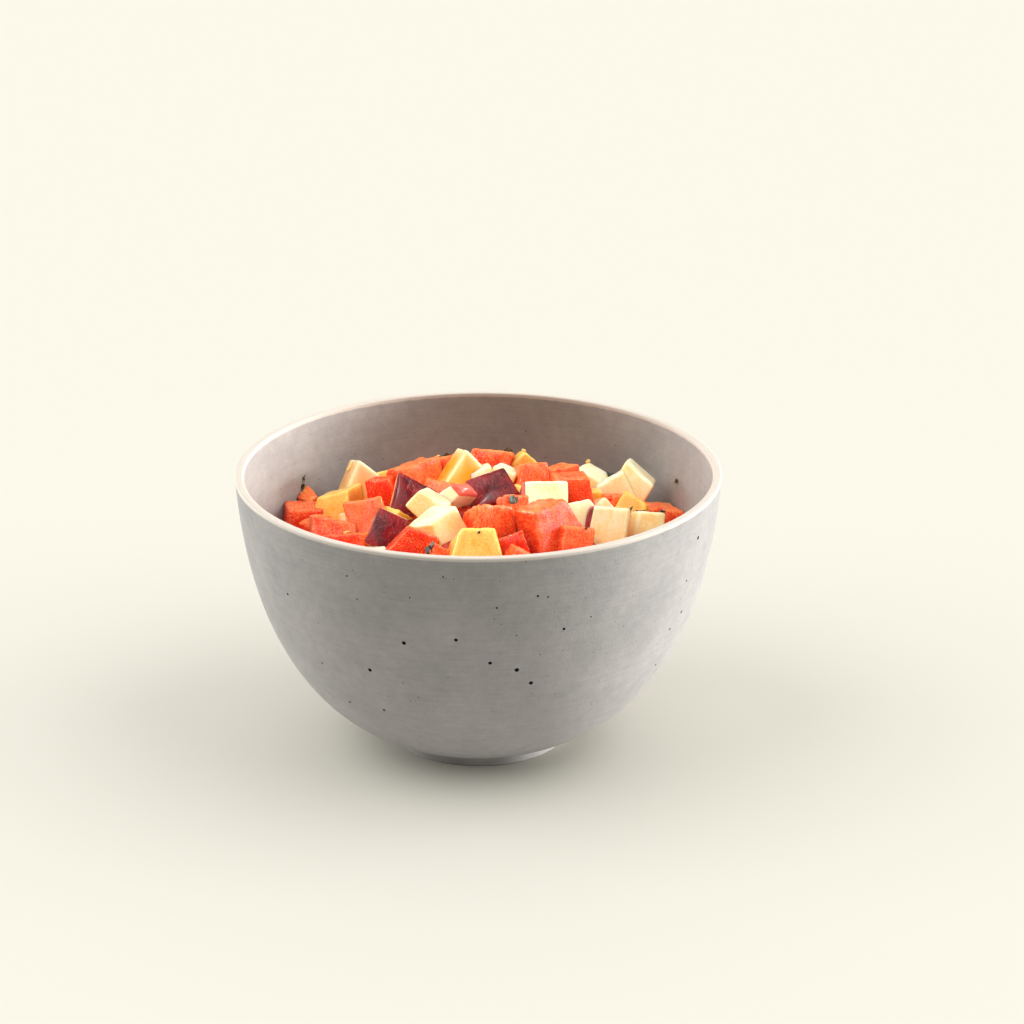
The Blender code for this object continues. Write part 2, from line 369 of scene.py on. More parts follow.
@dataclass(frozen=True)
class Flesh:
    """Wet cut fruit: two tones by how pale a face is, with painted light on faces turned up and painted
    shade and glow towards a deep tint, soft light inside it, and a fibrous, juicy surface.
    """

    name: str
    deep: str
    pale: str
    # The deep tint that painted shade and painted glow go to.
    shade_and_glow: str
    spread_mm: tuple[float, float, float]
    soft_share: float = 0.55
    fibre_mm: float = 1.1
    fibre_stretch: float = 0.25
    relief_mm: float = 0.35
    streaks: float = 1.0
    lean: float = 0.0
    roughness: float = 0.36
    gloss: float = 0.25

    def material(self) -> bpy.types.Material:
        """Build the material. It reads the pieces' values local (mm), pale and tone, and the value for
        painted shade and glow.
        """
        material, tree, shader = new_material(self.name)
        local = add(tree, "Attribute", output="Vector", attribute_name="local")
        pale, shade_and_glow, tone = (
            add(tree, "Attribute", output="Fac", attribute_name=name) for name in ("pale", "shade_and_glow", "tone")
        )
        along = add(tree, "Mapping", {"Vector": local, "Scale": (1.0, self.fibre_stretch, 1.0)})
        fibre = add(tree, "TexNoise", {"Vector": along, "Scale": 1 / self.fibre_mm, "Detail": 3.0})
        patch = add(tree, "TexNoise", {"Vector": local, "Scale": 1 / (self.fibre_mm * 7), "Detail": 2.0})
        swing = {0: fibre, 1: self.streaks, 2: self.lean - 0.5 * self.streaks}
        lines = add(tree, "Math", swing, operation="MULTIPLY_ADD")
        clouds = add(tree, "Math", {0: patch, 1: 1.2, 2: -0.6}, operation="MULTIPLY_ADD")
        share = add(tree, "Math", {0: pale, 1: lines}, operation="ADD")
        share = add(tree, "Math", {0: share, 1: clouds}, operation="ADD", use_clamp=True)
        tones = {0: share, 6: linear(self.deep), 7: linear(self.pale)}
        colour = add(tree, "Mix", tones, 2, data_type="RGBA")
        # Painted shade and glow: where the pieces' value says, the colour goes to the deep tint, in patches.
        shade_and_glow_share = add(tree, "Math", {0: patch, 1: 1.7, 2: 0.1}, operation="MULTIPLY_ADD")
        shade_and_glow_share = add(tree, "Math", {0: shade_and_glow_share, 1: shade_and_glow}, operation="MULTIPLY", use_clamp=True)
        colour = add(tree, "Mix", {0: shade_and_glow_share, 6: colour, 7: linear(self.shade_and_glow)}, 2, data_type="RGBA")
        shade = add(tree, "HueSaturation", {"Color": colour, "Value": tone})
        finish_off(
            tree, shader, shade, fibre, self.relief_mm, 0.6,
            Roughness=self.roughness, Specular_IOR_Level=0.25, Coat_Weight=self.gloss, Coat_Roughness=0.10,
            Subsurface_Weight=self.soft_share, Subsurface_Radius=self.spread_mm, Subsurface_Scale=MM,
        )
        return material


@dataclass(frozen=True)
class NectarineSkin:
    """Thin nectarine skin: burgundy with fine pale wrinkles and a waxy gloss, pink where it is pale: where
    the skin fades, and on faces turned up as painted light.
    """

    dark: str = "4c040a"
    red: str = "980a12"
    faded_and_top_lit: str = "e86a56"
    wrinkle: str = "b8585a"
    wrinkle_mm: float = 1.3
    patch_mm: float = 9.0

    def material(self) -> bpy.types.Material:
        """Build the material. It reads the values local (mm), pale and tone of the pieces."""
        material, tree, shader = new_material("nectarine_skin")
        local = add(tree, "Attribute", output="Vector", attribute_name="local")
        pale, tone = (add(tree, "Attribute", output="Fac", attribute_name=name) for name in ("pale", "tone"))
        along = add(tree, "Mapping", {"Vector": local, "Scale": (1.0, 0.35, 0.24)})
        waves = {"Vector": along, "Scale": 1 / self.wrinkle_mm, "Detail": 2.5, "Distortion": 0.5}
        fold = add(tree, "Math", {0: add(tree, "TexNoise", waves), 1: 0.5}, operation="SUBTRACT")
        fold = add(tree, "Math", {0: fold}, operation="ABSOLUTE")
        crest = add(tree, "ValToRGB", {0: fold}, stops=((0.0, 0.42), (0.03, 0.0)))
        patch = add(tree, "TexNoise", {"Vector": local, "Scale": 1 / self.patch_mm, "Detail": 3.0})
        reds = ((0.35, linear(self.dark)), (0.7, linear(self.red)))
        colour = add(tree, "ValToRGB", {0: patch}, stops=reds)
        # Pink by the pale value, which holds the piece's own fading and, on faces turned up, painted light
        # from above.
        fading = add(tree, "ValToRGB", {0: pale}, stops=((0.72, 0.0), (0.98, 1.0)))
        colour = add(tree, "Mix", {0: fading, 6: colour, 7: linear(self.faded_and_top_lit)}, 2, data_type="RGBA")
        colour = add(tree, "Mix", {0: crest, 6: colour, 7: linear(self.wrinkle)}, 2, data_type="RGBA")
        shade = add(tree, "HueSaturation", {"Color": colour, "Value": tone})
        finish_off(
            tree, shader, shade, crest, 0.35, 0.6,
            Roughness=0.28, Specular_IOR_Level=0.22, Coat_Weight=0.08, Coat_Roughness=0.12,
            Subsurface_Weight=0.1, Subsurface_Radius=(1.5, 0.3, 0.2), Subsurface_Scale=MM,
        )
        return material


@dataclass(frozen=True)
class Pulp:
    """Crushed fruit and juice deep between the pieces: dark, wet and red."""

    dark: str = "7a1408"
    light: str = "c8341a"
    lump_mm: float = 4.0

    def material(self) -> bpy.types.Material:
        """Build the material. It reads Object coordinates."""
        material, tree, shader = new_material("fruit_pulp")
        place = add(tree, "TexCoord", output="Object")
        lumps = add(tree, "TexNoise", {"Vector": place, "Scale": 1 / (self.lump_mm * MM), "Detail": 5.0})
        reds = ((0.35, linear(self.dark)), (0.7, linear(self.light)))
        colour = add(tree, "ValToRGB", {0: lumps}, stops=reds)
        finish_off(tree, shader, colour, lumps, 1.2, 0.8, Roughness=0.25)
        return material


@dataclass(frozen=True)
class LooseBits:
    """Mint and pips: two tones by how pale a bit is, faintly veined, with a waxy gloss."""

    name: str
    dark: str
    pale: str
    vein_mm: float

    def material(self) -> bpy.types.Material:
        """Build the material. It reads the values local (mm) and pale of the bits."""
        material, tree, shader = new_material(self.name)
        local = add(tree, "Attribute", output="Vector", attribute_name="local")
        pale = add(tree, "Attribute", output="Fac", attribute_name="pale")
        vein = add(tree, "TexNoise", {"Vector": local, "Scale": 1 / self.vein_mm, "Detail": 3.0})
        share = add(tree, "Math", {0: vein, 1: 0.8, 2: -0.4}, operation="MULTIPLY_ADD")
        share = add(tree, "Math", {0: share, 1: pale}, operation="ADD", use_clamp=True)
        tones = {0: share, 6: linear(self.dark), 7: linear(self.pale)}
        colour = add(tree, "Mix", tones, 2, data_type="RGBA")
        finish_off(tree, shader, colour, vein, 0.2, 0.6, Roughness=0.36)
        return material


WATERMELON = Flesh(
    "watermelon_flesh", deep="ec2804", pale="fb8a4a", shade_and_glow="d20c04", spread_mm=(4.5, 0.8, 0.3),
    soft_share=0.7, streaks=2.6, lean=-0.08, fibre_mm=0.9, fibre_stretch=0.16,
)
ORANGE_MELON = Flesh(
    "orange_melon_flesh", deep="f89c1e", pale="fbd070", shade_and_glow="f27410", spread_mm=(5.0, 3.6, 1.2),
    soft_share=0.7, streaks=1.5, fibre_mm=0.8, fibre_stretch=0.8,
)
NECTARINE = Flesh(
    "nectarine_flesh", deep="fbcb6c", pale="fdf0cc", shade_and_glow="f8960a", spread_mm=(4.0, 3.6, 2.4),
    soft_share=0.6, fibre_mm=1.6, fibre_stretch=0.3, relief_mm=0.10,
)
MINT = LooseBits("mint_leaf", dark="14241a", pale="7c9080", vein_mm=1.2)
PIP = LooseBits("melon_pip", dark="24120c", pale="f8d488", vein_mm=0.8)


# ---- The bowl ----


# Azimuth from the front round to the right in degrees, height and width in millimetres.
FRONT_PINHOLES = (
    (-18.0, 94.6, 2.1), (-5.4, 98.6, 1.8), (2.6, 85.6, 1.8), (9.2, 80.8, 2.3),
    (13.1, 72.2, 2.1), (-28.6, 75.1, 2.0), (20.1, 101.4, 1.5), (13.3, 120.9, 1.2),
    (15.7, 119.8, 0.9), (4.0, 116.0, 1.0), (-28.2, 49.9, 1.4), (-40.7, 48.5, 1.3),
    (-31.1, 125.9, 0.9), (-7.9, 131.9, 0.8), (-28.9, 114.7, 0.8), (-15.7, 119.7, 0.8),
    (26.8, 105.5, 0.8), (8.7, 100.6, 0.7),
)


@dataclass
class ConcreteBowl:
    """The cast bowl: a deep body on a low foot, turned from one closed profile, in metres."""

    rim_radius: float = 0.120
    height: float = 0.1415
    body_depth: float = 0.141
    flare: float = 0.073
    squareness: float = 2.4
    fullness: float = 2.75
    rim_wall: float = 0.0043
    floor_wall: float = 0.0090
    rim_rounding: float = 0.0009
    foot_radius: float = 0.0452
    foot_step: float = 0.001
    foot_taper: float = 0.0008
    foot_height: float = 0.0058
    foot_rounding: float = 0.0008
    steps: int = 320
    hidden_pinholes: int = 26
    sharp_deg: float = 38.0
    rub_start: float = 1.6
    rub_depth: float = 0.0012
    finish: CastConcrete = CastConcrete()

    def curve(self, below_rim: Array, inner: bool = False) -> Array:
        """Radius at a depth d below the rim: (R - flare d) (1 - (d / D)^squareness)^(1 / fullness).

        Args:
            below_rim: depths in metres.
            inner: True for the inside of the wall.

        Returns:
            The radii.
        """
        radius = self.rim_radius - (self.rim_wall if inner else 0.0)
        depth = self.body_depth - (self.floor_wall if inner else 0.0)
        closing = np.clip(1.0 - (below_rim / depth) ** self.squareness, 0.0, 1.0)
        return (radius - self.flare * below_rim) * closing ** (1.0 / self.fullness)

    def inside_radius(self, heights: Array) -> Array:
        """Radius of the inside of the wall at these heights."""
        return self.curve(np.clip(self.height - heights, 0.0, None), inner=True)

    def keep_inside(self, points: Array, gap: float) -> Array:
        """Draw points that would pass the inside of the wall straight in towards the axis.

        Args:
            points: (n, 3) places in metres.
            gap: how far they stay off the wall.

        Returns:
            The places, moved where needed.
        """
        reach = np.hypot(points[:, 0], points[:, 1])
        room = self.inside_radius(points[:, 2]) - gap
        points[:, :2] *= np.minimum(1.0, room / np.maximum(reach, 1e-6))[:, None]
        return points

    def profile(self) -> tuple[Array, Array]:
        """The section from the inner floor's centre up the inside, over the rim, down and under the foot.

        Returns:
            Radii and heights.
        """
        sweep = np.sin(np.linspace(math.pi / 2, 0, 70))
        inner_depth = (self.body_depth - self.floor_wall) * sweep
        inner_depth = inner_depth[inner_depth > self.rim_rounding]
        inside = np.column_stack([self.curve(inner_depth, inner=True), self.height - inner_depth])
        rise = np.linspace(0, math.pi / 2, 6)
        level = self.height - self.rim_rounding
        near = self.rim_radius - self.rim_wall + self.rim_rounding
        far = self.rim_radius - self.rim_rounding
        across, up = self.rim_rounding * np.cos(rise), self.rim_rounding * np.sin(rise)
        inner_arc = np.column_stack([near - across, level + up])
        outer_arc = np.column_stack([far + up, level + across])
        flat = np.column_stack([np.linspace(near, far, 6)[1:-1], np.full(4, self.height)])
        end_radius = self.foot_radius + self.foot_step
        outer_depth = self.body_depth * np.sin(np.linspace(0, math.pi / 2, 90))
        keep = (outer_depth > self.rim_rounding) & (self.curve(outer_depth) > end_radius)
        keep &= outer_depth < self.height - self.foot_height
        outside = np.column_stack([self.curve(outer_depth[keep]), self.height - outer_depth[keep]])
        drop = np.linspace(0, math.pi / 2, 5)
        foot_centre = self.foot_radius - self.foot_taper - self.foot_rounding
        foot_arc = np.column_stack([
            foot_centre + self.foot_rounding * np.cos(drop), self.foot_rounding * (1 - np.sin(drop))])
        foot = np.vstack([
            [[end_radius, self.foot_height + 0.0004], [self.foot_radius, self.foot_height]],
            [[self.foot_radius - self.foot_taper / 2, self.foot_height / 2]], foot_arc])
        under = np.column_stack([np.linspace(foot_centre, 0, 8)[1:], np.zeros(7)])
        centre = [[0, inside[0, 1]]]
        section = np.vstack([centre, inside[1:], inner_arc, flat, outer_arc, outside, foot, under])
        return section[:, 0], section[:, 1]

    def pinholes(self) -> Surface:
        """Balls that stand on the outer wall, to be cut from it: the front's own, and seeded ones elsewhere.

        Returns:
            One surface with all of the balls.
        """
        rng = np.random.default_rng(5)
        azimuth = rng.uniform(45, 315, self.hidden_pinholes)
        level = rng.uniform(40, 132, self.hidden_pinholes)
        across = 0.7 + 1.4 * rng.random(self.hidden_pinholes) ** 2
        holes = np.vstack([np.array(FRONT_PINHOLES), np.column_stack([azimuth, level, across])])
        turn, height, radius = np.radians(holes[:, 0]), holes[:, 1] * MM, holes[:, 2] / 2 * MM
        reach = self.curve(self.height - height)
        centres = np.column_stack([reach * np.sin(turn), -reach * np.cos(turn), height])
        arc = np.linspace(0, math.pi, 9)
        ball = turned_surface(np.sin(arc), np.cos(arc), 12)
        return Surface.joined([Surface(ball.points * r + c, ball.quads) for r, c in zip(radius, centres)])

    def build(self) -> bpy.types.Object:
        """Turn the profile, cut the larger pinholes, and dress it.

        Returns:
            The bowl's object.
        """
        turned = turned_surface(*self.profile(), self.steps)
        piece = turned.to_object("concrete_bowl", [self.finish.material()])
        # The faces cut by the balls take the cutter's plain dark tone: painted shade inside the pinholes.
        cutter = self.pinholes().to_object("pinhole_cutter", [self.finish.pinhole_shade_material()])
        cut = piece.modifiers.new("pinholes", "BOOLEAN")
        cut.operation = "DIFFERENCE"
        cut.solver = "EXACT"
        cut.material_mode = "TRANSFER"
        cut.object = cutter
        graph = bpy.context.evaluated_depsgraph_get()
        mesh = bpy.data.meshes.new_from_object(piece.evaluated_get(graph))
        piece.modifiers.clear()
        bpy.data.objects.remove(cutter)
        plain, piece.data = piece.data, mesh
        bpy.data.meshes.remove(plain)
        mesh.name = "concrete_bowl"
        mesh.set_sharp_from_angle(angle=math.radians(self.sharp_deg))
        points = np.empty(len(mesh.vertices) * 3, np.float32)
        mesh.vertices.foreach_get("co", points)
        rub = np.clip(self.rub_start - (self.height - points[2::3]) / self.rub_depth, 0, 1)
        layer = mesh.attributes.new("rub", "FLOAT", "POINT")
        layer.data.foreach_set("value", rub.astype(np.float32))
        return piece


# ---- The fruit ----


class Fruit(Enum):
    """What a piece is cut from. A nectarine piece may keep its skin on one face."""

    WATERMELON = "watermelon_chunks"
    ORANGE_MELON = "orange_melon_chunks"
    NECTARINE = "nectarine_chunks"

    @property
    def relief_mm(self) -> tuple[float, float]:
        """How rough its cut faces are: coarse waves, then fine grain."""
        watermelon, melon, nectarine = (0.42, 0.26), (0.22, 0.14), (0.20, 0.07)
        return dict(zip(Fruit, (watermelon, melon, nectarine)))[self]


class Skin(Enum):
    """Which face of a nectarine piece carries skin."""

    NONE = -1
    LEFT = 0
    RIGHT = 1
    FRONT = 2
    BACK = 3
    UNDER = 4
    TOP = 5


@dataclass(frozen=True)
class Cut:
    """One cut piece: where it lies and how it is cut, in millimetres and degrees.

    Attributes:
        top: height of its highest point over the foot's plane.
        tip: how far its top leans towards -Y, after its roll about Y and before its turn about Z.
        taper: how much narrower its top face is than its underside.
        pale: how pale its faces are, from 0 to 1.
        shade_and_glow: how far its lower part and its faces turned down go towards the deep tint, as painted
            shade, orange on nectarine as painted glow.
        golden: how far the middle of every face goes towards that tint, as a painted glow of light through
            the flesh.
    """

    fruit: Fruit
    x: float
    y: float
    top: float
    width: float
    depth: float
    height: float
    turn: float = 0.0
    tip: float = 0.0
    roll: float = 0.0
    taper: float = 0.86
    skin: Skin = Skin.NONE
    pale: float = 0.5
    shade_and_glow: float = 0.6
    golden: float = 0.0
    rounding: float = 1.5
    askew: float = 0.21


W, O, N = Fruit.WATERMELON, Fruit.ORANGE_MELON, Fruit.NECTARINE

SHOWN_CUTS = (
    Cut(W, -90, 42, 107, 20, 18, 14, 15, 10, 8, pale=0.2),
    Cut(W, -88, 62, 108, 8, 18, 24, 35, 0, -12),
    Cut(O, -72, 43, 116, 24, 20, 22, -20, 20, -10),
    Cut(W, -81, 25, 107, 14, 14, 14, 40, 10, 0),
    Cut(N, -60, 62, 124, 19, 19, 20, 8, 18, 30, golden=0.6),
    Cut(O, -51, 74, 114, 18, 16, 16, 20, 25, -15),
    Cut(W, -33, 50, 128, 24, 20, 20, 38, 20, 8),
    Cut(W, -47, 40, 123, 17, 16, 22, -10, 10, -14, pale=0.2),
    Cut(N, -34, 22, 131, 23, 16, 23, 16, 30, 24, skin=Skin.FRONT, pale=0.2),
    Cut(W, -54, 4, 126, 21, 20, 23, -8, 32, -16, pale=0.8),
    Cut(N, -64, 16, 114, 14, 12, 12, 20, 20, 0),
    Cut(W, -72, -4, 119, 25, 20, 20, 12, 26, 8),
    Cut(N, -45, -17, 127, 18, 15, 20, 6, 24, 27, skin=Skin.FRONT, pale=0.2),
    Cut(O, -42, 2, 120, 14, 12, 14, 30, 0, 30),
    Cut(W, -32, -36, 126, 20, 18, 18, 10, 20, 34, pale=0.2),
    Cut(W, -22, 62, 128, 30, 17, 18, -12, 15, -20),
    Cut(N, -8, 48, 134, 20, 17, 22, 18, 14, 40, 0.76, shade_and_glow=0.8, golden=0.9),
    Cut(N, -14, 11, 132, 11, 18, 25, -30, 10, 38, skin=Skin.TOP, pale=1.3),
    Cut(N, -24, 0, 130, 20, 14, 14, -14, 20, 26),
    Cut(N, -19, -22, 130, 22, 22, 23, 44, 18, -8),
    Cut(W, -20, -50, 122, 12, 10, 12, 20, 20, 30),
    Cut(O, -1, -53, 131, 28, 20, 22, 4, 36, 4),
    Cut(W, 5, -18, 132, 24, 21, 22, 28, 22, 6),
    Cut(N, 5, 24, 132, 25, 18, 20, 0, 42, -24, 0.78, skin=Skin.FRONT, pale=0.2),
    Cut(W, 6, 66, 129, 22, 18, 20, -10, 20, 4),
    Cut(N, 2, 48, 126, 14, 12, 12, 12, 20, -10),
    Cut(N, 13, 47, 126, 14, 12, 14, -20, 10, 20),
    Cut(O, 23, 70, 126, 18, 16, 18, 5, 10, 42),
    Cut(W, 26, 48, 128, 20, 18, 20, 16, 20, 5),
    Cut(N, 33, 13, 130, 24, 20, 22, 4, 28, 8, skin=Skin.LEFT, pale=0.62),
    Cut(W, 46, 24, 131, 24, 22, 24, -6, 12, -2, pale=0.2),
    Cut(W, 16, -2, 129, 17, 16, 19, 30, 18, 18),
    Cut(O, 21, 20, 125, 13, 13, 13, 12, 16, 24),
    Cut(W, 33, -22, 133, 27, 25, 26, 38, 26, -6),
    # Painted darkest: a deep crimson piece, darkened further as painted shade where it lies low among its
    # neighbours.
    Cut(W, 16, -38, 124, 16, 14, 20, 8, 20, -20, pale=0.0, shade_and_glow=0.9),
    Cut(W, 19, -54, 122, 14, 11, 12, 20, 15, 25),
    Cut(W, 46, -32, 124, 18, 16, 18, 30, 20, 20),
    Cut(N, 49, -4, 126, 22, 19, 21, 14, 34, -20, shade_and_glow=0.8, golden=0.2),
    Cut(N, 63, -7, 125, 24, 21, 23, -8, 16, 10, skin=Skin.LEFT),
    Cut(N, 60, 20, 118, 18, 16, 16, 22, 24, -20),
    Cut(O, 56, 37, 117, 14, 14, 14, 10, 10, 15),
    Cut(W, 69, 38, 114, 17, 16, 17, 35, 10, 10),
    Cut(O, 76, 25, 120, 19, 18, 19, -10, 30, 22, pale=0.2, shade_and_glow=0.7),
    Cut(N, 84, 10, 116, 18, 16, 15, 12, 20, 14),
    Cut(W, 95, 38, 108, 19, 18, 17, 22, 12, 4),
    Cut(W, 84, 29, 110, 15, 14, 14, 40, 10, 0),
    Cut(N, 71, 53, 121, 19, 16, 18, 0, 14, -26),
    Cut(N, 80, 55, 125, 20, 17, 19, -16, 12, 25),
    Cut(W, 40, 56, 124, 21, 19, 19, 24, 16, -12),
    Cut(N, 56, 64, 119, 19, 18, 18, -22, 10, 20),
)


@dataclass
class BlockGrid:
    """A cube's six faces as one closed grid of quads, shared by every piece of one fineness."""

    divisions: int

    def __post_init__(self) -> None:
        """Number the lattice points of the six faces and merge those on shared edges."""
        n = self.divisions
        u, v = np.meshgrid(np.arange(n + 1), np.arange(n + 1), indexing="ij")
        faces, owners = [], []
        for axis in range(3):
            for side in (0, n):
                lattice = np.empty((n + 1, n + 1, 3), np.int64)
                lattice[..., axis] = side
                first, second = (axis + 1) % 3, (axis + 2) % 3
                lattice[..., first], lattice[..., second] = (u, v) if side else (v, u)
                faces.append(lattice.reshape(-1, 3))
                owners.append(np.full(n * n, axis * 2 + (side > 0)))
        every, index = np.unique(np.concatenate(faces), axis=0, return_inverse=True)
        index = index.reshape(6, n + 1, n + 1)
        quads = np.stack([index[:, :-1, :-1], index[:, 1:, :-1], index[:, 1:, 1:], index[:, :-1, 1:]], -1)
        self.quads = quads.reshape(-1, 4)
        self.owners = np.concatenate(owners)
        even = every / n * 2 - 1
        self.unit = np.sin(even * math.pi / 2) * 0.55 + even * 0.45


@dataclass
class CutPiece:
    """Makes one piece's surface from its cut."""

    cut: Cut
    number: int
    grid: BlockGrid
    skin_crown: float = 2.2
    wrap: float = 0.12
    wall_gap: float = 0.0004

    def pose(self) -> Array:
        """Rotation: roll about Y, then tip about X, then turn about Z."""
        turn, tip, roll = (math.radians(a) for a in (self.cut.turn, -self.cut.tip, self.cut.roll))
        about_z = [[math.cos(turn), -math.sin(turn), 0], [math.sin(turn), math.cos(turn), 0], [0, 0, 1]]
        about_x = [[1, 0, 0], [0, math.cos(tip), -math.sin(tip)], [0, math.sin(tip), math.cos(tip)]]
        about_y = [[math.cos(roll), 0, math.sin(roll)], [0, 1, 0], [-math.sin(roll), 0, math.cos(roll)]]
        return np.array(about_z) @ np.array(about_x) @ np.array(about_y)

    def corners(self, rng: np.random.Generator) -> Array:
        """The eight corners of the block. Each is where three of its flat faces meet.

        A face lies at half the block's size along its axis, leans a little at random, and a side face
        also leans in by the taper.

        Args:
            rng: source of the random leans.

        Returns:
            (2, 2, 2, 3) places in millimetres, counted low to high along each axis.
        """
        cut = self.cut
        half = np.array([cut.width, cut.depth, cut.height]) / 2
        signs = np.array([-1.0, 1.0])
        normals = rng.uniform(-cut.askew, cut.askew, (3, 2, 3))
        normals[np.arange(3), :, np.arange(3)] = signs
        reach = np.repeat(half[:, None], 2, axis=1) * rng.uniform(0.94, 1.04, (3, 2))
        normals[:2, :, 2] += (1 - cut.taper) * half[:2, None] / cut.height
        reach[:2] *= (1 + cut.taper) / 2
        low_high = np.array(list(np.ndindex(2, 2, 2)))
        axes = np.arange(3)
        planes = normals[axes, low_high]
        return np.linalg.solve(planes, reach[axes, low_high][..., None])[..., 0].reshape(2, 2, 2, 3)

    def surface(self, bowl: ConcreteBowl) -> Surface:
        """A block with flat askew faces and rounded edges, roughened, placed, and kept off the bowl's wall.

        A point of the block is its nearest point in a smaller inner block plus the edge rounding along the
        way out. The eight corners then carry it with them, each by its share, and relief moves it along
        that way out.

        Args:
            bowl: the bowl whose wall it leans on.

        Returns:
            The piece's surface in metres, with the values that its finish reads.
        """
        cut, rng = self.cut, np.random.default_rng(1000 + self.number)
        half = np.array([cut.width, cut.depth, cut.height]) / 2
        box = self.grid.unit * half
        rounding = min(cut.rounding, 0.45 * half.min())
        inner = np.clip(box, rounding - half, half - rounding)
        out = box - inner
        out /= np.maximum(np.linalg.norm(out, axis=1, keepdims=True), 1e-9)
        local = inner + rounding * out
        share = local / half
        if cut.skin is not Skin.NONE:
            axis, side = cut.skin.value // 2, 2 * (cut.skin.value % 2) - 1
            crown = np.prod(1 - np.delete(share, axis, axis=1) ** 2, axis=1)
            local[:, axis] += side * self.skin_crown * crown * np.clip(side * share[:, axis], 0, 1)
            share = local / half
        low_high = np.stack([(1 - share) / 2, (1 + share) / 2])
        corner = self.corners(rng)
        shaped = np.einsum("in,jn,kn,ijkc->nc", low_high[..., 0], low_high[..., 1], low_high[..., 2], corner)
        offset = rng.uniform(-500, 500, 3)
        coarse, fine = cut.fruit.relief_mm
        edge = 1 + 1.5 * np.sort(np.abs(share), axis=1)[:, 1] ** 8
        relief = ripple(local + offset, 6.0, 3, 2) * coarse + ripple(local + offset, 1.9, 5, 2) * fine * edge
        shaped = shaped + out * relief[:, None]
        pose = self.pose()
        placed = shaped @ pose.T
        placed += np.array([cut.x, cut.y, cut.top - placed[:, 2].max()])
        points = bowl.keep_inside(placed * MM, self.wall_gap)
        # Painted light: how far each point's face turns up, which paints top faces paler and undersides
        # deeper.
        painted_top_light = (out @ pose.T)[:, 2]
        face_tone = rng.uniform(-0.18, 0.18, 6)
        by_face = np.where(out > 0, face_tone[1::2], face_tone[0::2])
        near_edge = np.sort(np.abs(share), axis=1)[:, 1]
        # Each face has its own random tone. Faces turned up are painted paler as painted light from above,
        # and edges paler as a painted glow of light through the flesh.
        pale = cut.pale + (by_face * out**2).sum(1) + 0.42 * painted_top_light - 0.1 + 0.2 * near_edge**4
        # Painted shade: the lower part and the faces turned down go towards the deep tint, and the middle of
        # each face too, as a painted glow of light through the flesh.
        low = (placed[:, 2].max() - placed[:, 2]) / np.ptp(placed[:, 2])
        shade_and_glow = cut.shade_and_glow * np.clip(1.9 * low - 0.35 - 0.35 * painted_top_light, 0, 1)
        shade_and_glow = shade_and_glow + cut.golden * (1 - 0.8 * near_edge**3)
        values = {
            "local": local + offset,
            "pale": np.clip(pale, 0, 1),
            "shade_and_glow": np.clip(shade_and_glow, 0, 1),
            "tone": np.full(len(points), rng.uniform(0.92, 1.05)),
        }
        slots = np.zeros(len(self.grid.quads), int)
        if cut.skin is not Skin.NONE:
            facing = out[self.grid.quads].mean(1)[:, cut.skin.value // 2] * (2 * (cut.skin.value % 2) - 1)
            slots = (facing > self.wrap).astype(int)
        return Surface(points, self.grid.quads, values, slots)


class Scrap(Enum):
    """What a loose bit on the heap is."""

    MINT = "mint_shreds"
    PIP = "melon_pips"


@dataclass(frozen=True)
class Bit:
    """One loose bit, dropped from above at x, y, or stuck to the bowl's wall when a height is given.

    Sizes are in millimetres. Lay is the angle of its length from level, in the plane it lies in.
    """

    scrap: Scrap
    x: float
    y: float
    length: float
    width: float
    lay: float = 0.0
    pale: float = 0.3
    height: float | None = None
    bend: float = 0.6


M, P = Scrap.MINT, Scrap.PIP

SHOWN_BITS = (
    Bit(M, 24, 36, 12.0, 7.0, 10, 0.75, bend=1.6),
    Bit(M, 29, 33, 8.0, 5.0, 50, 0.45, bend=1.2),
    Bit(M, 17, -5, 5.0, 3.6, -20, 0.5),
    Bit(M, -23, -51, 7.0, 4.6, 60, 0.05),
    Bit(M, 28, -1, 4.4, 1.1, -45, 0.35, bend=0.2),
    Bit(M, 76, 14, 8.0, 2.6, -60, 0.1),
    Bit(M, 81, 12, 7.5, 2.4, -50, 0.15),
    Bit(M, 89, 20, 7.5, 2.2, 55, 0.15),
    Bit(M, 71, 18, 4.5, 2.8, 30, 0.3),
    Bit(M, 55, 11, 5.0, 2.4, -25, 0.35),
    Bit(P, -65, -10, 5.0, 3.4, 80, 1.0),
    Bit(P, 90, 25, 4.6, 2.0, 80, 0.0),
    Bit(P, 92, 8, 4.4, 2.0, 65, 0.0),
    Bit(P, 0, -55, 1.5, 1.1, 20, 0.0),
    Bit(P, 52, -33, 1.6, 1.2, 20, 0.0),
    Bit(M, -89.9, 66.3, 3.6, 1.6, 75, 0.2, height=112.0),
    Bit(M, -91.0, 64.0, 4.6, 2.2, 60, 0.05, height=107.5),
    Bit(P, 101.7, 49.3, 2.6, 1.6, 70, 0.1, height=116.1),
)


